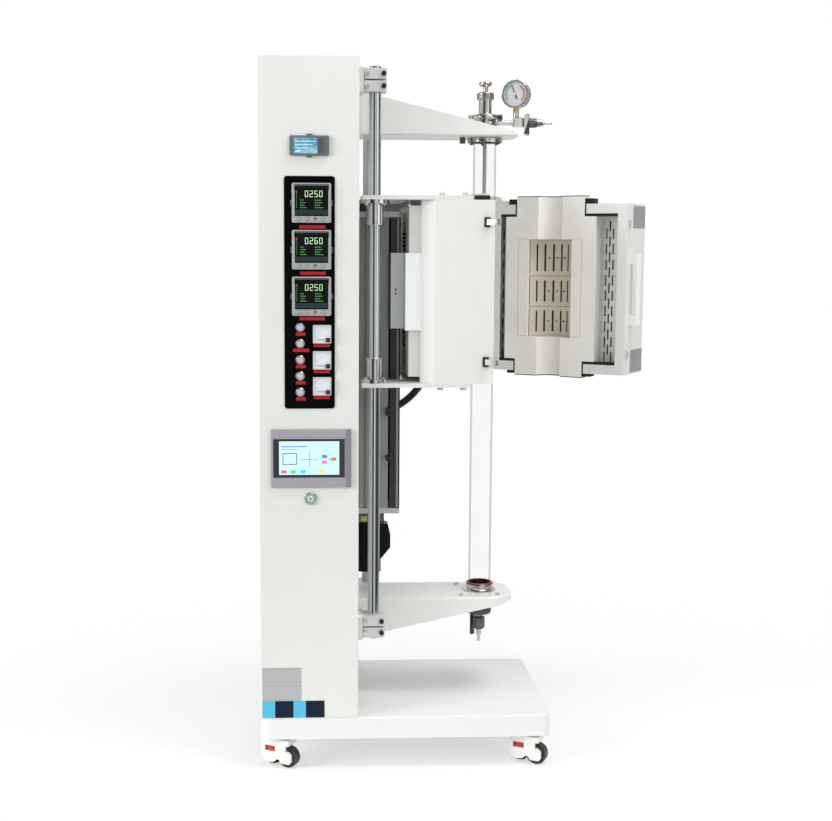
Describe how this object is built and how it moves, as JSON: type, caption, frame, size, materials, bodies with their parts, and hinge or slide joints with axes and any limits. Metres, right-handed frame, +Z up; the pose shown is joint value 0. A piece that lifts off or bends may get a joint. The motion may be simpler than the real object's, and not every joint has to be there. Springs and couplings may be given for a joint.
{
  "type": "vertical split tube furnace",
  "caption": "Floor-standing vertical split tube furnace on a powered lift beside a control column, with a clear process tube, gas fittings and levelling casters.",
  "frame": {"origin": "middle of the bottom of the whole object, on the floor under the wheels", "axes": "+Z up, +X from the control column towards the door, -Y the front with the controls"},
  "size_m": [1.047, 0.622, 1.788],
  "materials": {
    "white_paint": "satin powder coat",
    "black_panel": "satin",
    "instrument": "moulded",
    "pointer": "matt",
    "button_steel": "brushed",
    "chrome_rod": "ground and plated",
    "clamp_aluminium": "anodised",
    "module_aluminium": "anodised",
    "motor_black": "matt black",
    "quartz": "clear",
    "stainless": "turned",
    "ceramic_rod": "matt",
    "insulation": "rough fibre board",
    "heater_ceramic": "cast ceramic",
    "mirror_liner": "polished steel",
    "black_latch": "matt",
    "lever_grip": "dipped",
    "black_rubber": "ribbed",
    "caster_housing": "moulded",
    "caster_wheel": "nylon",
    "thumb_red": "moulded",
    "foot_black": "matt"
  },
  "bodies": {
    "stand": {"base_frame": "white_paint", "column_shell": "white_paint", "column_rear_panel": "white_paint", "control_panel": "black_panel", "panel_instruments": "instrument", "guide_rods": "chrome_rod", "rod_clamps": "clamp_aluminium", "lift_module": "module_aluminium", "lift_motor": "motor_black", "conduit": "black_rubber", "conduit_elbow": "black_latch", "support_arms": "white_paint", "quartz_tube": "quartz", "tube_flanges": "stainless", "gas_fittings": "stainless"},
    "carriage": {"carriage_plates": "white_paint", "rod_bearings": "chrome_rod", "lift_bracket": "white_paint", "furnace_shell": "white_paint", "furnace_insulation": "insulation", "furnace_heaters": "heater_ceramic", "furnace_liner": "mirror_liner", "terminal_cover": "white_paint", "hinge_and_latch_bases": "black_latch"},
    "door": {"door_shell": "white_paint", "door_insulation": "insulation", "door_heaters": "heater_ceramic", "door_liner": "mirror_liner", "door_fittings": "white_paint"},
    "upper_latch": {"latch_hook_upper": "stainless"},
    "lower_latch": {"latch_hook_lower": "stainless"},
    "sample_rod": {"sample_rod": "ceramic_rod"},
    "gauge_needle": {"gauge_pointer": "pointer"},
    "gas_lever": {"gas_valve_lever": "lever_grip"},
    "drain_lever": {"drain_valve_lever": "lever_grip"},
    "key_barrel": {"key_switch_barrel": "button_steel"},
    "button_1": {"push_button_1": "button_steel"},
    "button_2": {"push_button_2": "button_steel"},
    "button_3": {"push_button_3": "button_steel"},
    "button_4": {"push_button_4": "button_steel"},
    "button_5": {"push_button_5": "button_steel"},
    "needle_1": {"meter_pointer_1": "pointer"},
    "needle_2": {"meter_pointer_2": "pointer"},
    "needle_3": {"meter_pointer_3": "pointer"},
    "caster_front_left": {"caster_housing_front_left": "caster_housing"},
    "wheel_front_left": {"caster_wheel_front_left": "caster_wheel"},
    "thumb_front_left": {"caster_thumb_front_left": "thumb_red"},
    "foot_front_left": {"caster_foot_front_left": "foot_black"},
    "caster_front_right": {"caster_housing_front_right": "caster_housing"},
    "wheel_front_right": {"caster_wheel_front_right": "caster_wheel"},
    "thumb_front_right": {"caster_thumb_front_right": "thumb_red"},
    "foot_front_right": {"caster_foot_front_right": "foot_black"},
    "caster_rear_left": {"caster_housing_rear_left": "caster_housing"},
    "wheel_rear_left": {"caster_wheel_rear_left": "caster_wheel"},
    "thumb_rear_left": {"caster_thumb_rear_left": "thumb_red"},
    "foot_rear_left": {"caster_foot_rear_left": "foot_black"},
    "caster_rear_right": {"caster_housing_rear_right": "caster_housing"},
    "wheel_rear_right": {"caster_wheel_rear_right": "caster_wheel"},
    "thumb_rear_right": {"caster_thumb_rear_right": "thumb_red"},
    "foot_rear_right": {"caster_foot_rear_right": "foot_black"}
  },
  "joints": [
    {"name": "carriage_lift", "type": "slide", "parent": "stand", "child": "carriage", "axis": [0, 0, 1], "range_m": [-0.46, 0.082], "deforming": ["conduit"]},
    {"name": "door_hinge", "type": "hinge", "parent": "carriage", "child": "door", "pos_m": [0.06348, 0.18102, 1.218], "axis": [0, 0, 1], "range_deg": [-58, 50]},
    {"name": "upper_latch_hinge", "type": "hinge", "parent": "carriage", "child": "upper_latch", "pos_m": [0.04548, -0.27498, 1.392], "axis": [0, 0, 1], "range_deg": [-35, 55]},
    {"name": "lower_latch_hinge", "type": "hinge", "parent": "carriage", "child": "lower_latch", "pos_m": [0.04548, -0.27498, 1.044], "axis": [0, 0, 1], "range_deg": [-35, 55]},
    {"name": "button_1_press", "type": "slide", "parent": "stand", "child": "button_1", "axis": [0, 1, 0], "range_m": [0, 0.0022], "stiffness_N_per_m": 600},
    {"name": "button_2_press", "type": "slide", "parent": "stand", "child": "button_2", "axis": [0, 1, 0], "range_m": [0, 0.0022], "stiffness_N_per_m": 600},
    {"name": "button_3_press", "type": "slide", "parent": "stand", "child": "button_3", "axis": [0, 1, 0], "range_m": [0, 0.0022], "stiffness_N_per_m": 600},
    {"name": "button_4_press", "type": "slide", "parent": "stand", "child": "button_4", "axis": [0, 1, 0], "range_m": [0, 0.0022], "stiffness_N_per_m": 600},
    {"name": "button_5_press", "type": "slide", "parent": "stand", "child": "button_5", "axis": [0, 1, 0], "range_m": [0, 0.0022], "stiffness_N_per_m": 600},
    {"name": "meter_1_needle", "type": "hinge", "parent": "stand", "child": "needle_1", "pos_m": [-0.35352, -0.30798, 1.1025], "axis": [0, 1, 0], "range_deg": [0, 85]},
    {"name": "meter_2_needle", "type": "hinge", "parent": "stand", "child": "needle_2", "pos_m": [-0.35352, -0.30798, 1.038], "axis": [0, 1, 0], "range_deg": [0, 85]},
    {"name": "meter_3_needle", "type": "hinge", "parent": "stand", "child": "needle_3", "pos_m": [-0.35352, -0.30798, 0.9735], "axis": [0, 1, 0], "range_deg": [0, 85]},
    {"name": "gauge_needle_turn", "type": "hinge", "parent": "stand", "child": "gauge_needle", "pos_m": [0.14447, -0.04998, 1.727], "axis": [-0.4226, -0.9063, 0], "range_deg": [-200, 110]},
    {"name": "key_turn", "type": "hinge", "parent": "stand", "child": "key_barrel", "pos_m": [-0.39603, -0.29998, 0.704], "axis": [0, -1, 0], "range_deg": [-90, 0]},
    {"name": "gas_valve_turn", "type": "hinge", "parent": "stand", "child": "gas_lever", "pos_m": [0.16947, -0.06698, 1.654], "axis": [0, -1, 0], "range_deg": [0, 90]},
    {"name": "drain_valve_turn", "type": "hinge", "parent": "stand", "child": "drain_lever", "pos_m": [0.06348, -0.04998, 0.314], "axis": [-0.7071, 0.7071, 0], "range_deg": [-90, 0]},
    {"name": "sample_rod_slide", "type": "slide", "parent": "stand", "child": "sample_rod", "axis": [0, 0, 1], "range_m": [0, 0.2]},
    {"name": "front_left_swivel", "type": "hinge", "parent": "stand", "child": "caster_front_left", "pos_m": [-0.49152, -0.25598, 0.08], "axis": [0, 0, 1], "continuous": true},
    {"name": "front_left_wheel_roll", "type": "hinge", "parent": "caster_front_left", "child": "wheel_front_left", "pos_m": [-0.45267, -0.27664, 0.027], "axis": [0.4695, 0.8829, 0], "continuous": true},
    {"name": "front_left_thumb_turn", "type": "hinge", "parent": "caster_front_left", "child": "thumb_front_left", "pos_m": [-0.49152, -0.25598, 0.08], "axis": [0, 0, 1], "range_deg": [-1440, 0]},
    {"name": "front_left_foot_screw", "type": "slide", "parent": "caster_front_left", "child": "foot_front_left", "axis": [0, 0, 1], "range_m": [-0.006, 0]},
    {"name": "front_right_swivel", "type": "hinge", "parent": "stand", "child": "caster_front_right", "pos_m": [0.15147, -0.25598, 0.08], "axis": [0, 0, 1], "continuous": true},
    {"name": "front_right_wheel_roll", "type": "hinge", "parent": "caster_front_right", "child": "wheel_front_right", "pos_m": [0.19032, -0.27664, 0.027], "axis": [0.4695, 0.8829, 0], "continuous": true},
    {"name": "front_right_thumb_turn", "type": "hinge", "parent": "caster_front_right", "child": "thumb_front_right", "pos_m": [0.15147, -0.25598, 0.08], "axis": [0, 0, 1], "range_deg": [-1440, 0]},
    {"name": "front_right_foot_screw", "type": "slide", "parent": "caster_front_right", "child": "foot_front_right", "axis": [0, 0, 1], "range_m": [-0.006, 0]},
    {"name": "rear_left_swivel", "type": "hinge", "parent": "stand", "child": "caster_rear_left", "pos_m": [-0.49152, 0.14602, 0.08], "axis": [0, 0, 1], "continuous": true},
    {"name": "rear_left_wheel_roll", "type": "hinge", "parent": "caster_rear_left", "child": "wheel_rear_left", "pos_m": [-0.45267, 0.12537, 0.027], "axis": [0.4695, 0.8829, 0], "continuous": true},
    {"name": "rear_left_thumb_turn", "type": "hinge", "parent": "caster_rear_left", "child": "thumb_rear_left", "pos_m": [-0.49152, 0.14602, 0.08], "axis": [0, 0, 1], "range_deg": [-1440, 0]},
    {"name": "rear_left_foot_screw", "type": "slide", "parent": "caster_rear_left", "child": "foot_rear_left", "axis": [0, 0, 1], "range_m": [-0.006, 0]},
    {"name": "rear_right_swivel", "type": "hinge", "parent": "stand", "child": "caster_rear_right", "pos_m": [0.15147, 0.14602, 0.08], "axis": [0, 0, 1], "continuous": true},
    {"name": "rear_right_wheel_roll", "type": "hinge", "parent": "caster_rear_right", "child": "wheel_rear_right", "pos_m": [0.19032, 0.12537, 0.027], "axis": [0.4695, 0.8829, 0], "continuous": true},
    {"name": "rear_right_thumb_turn", "type": "hinge", "parent": "caster_rear_right", "child": "thumb_rear_right", "pos_m": [0.15147, 0.14602, 0.08], "axis": [0, 0, 1], "range_deg": [-1440, 0]},
    {"name": "rear_right_foot_screw", "type": "slide", "parent": "caster_rear_right", "child": "foot_rear_right", "axis": [0, 0, 1], "range_m": [-0.006, 0]}
  ],
  "couplings": [
    {"joint": "front_left_foot_screw", "follows": "front_left_thumb_turn", "m_per_rad": 0.00023873},
    {"joint": "front_right_foot_screw", "follows": "front_right_thumb_turn", "m_per_rad": 0.00023873},
    {"joint": "rear_left_foot_screw", "follows": "rear_left_thumb_turn", "m_per_rad": 0.00023873},
    {"joint": "rear_right_foot_screw", "follows": "rear_right_thumb_turn", "m_per_rad": 0.00023873}
  ]
}
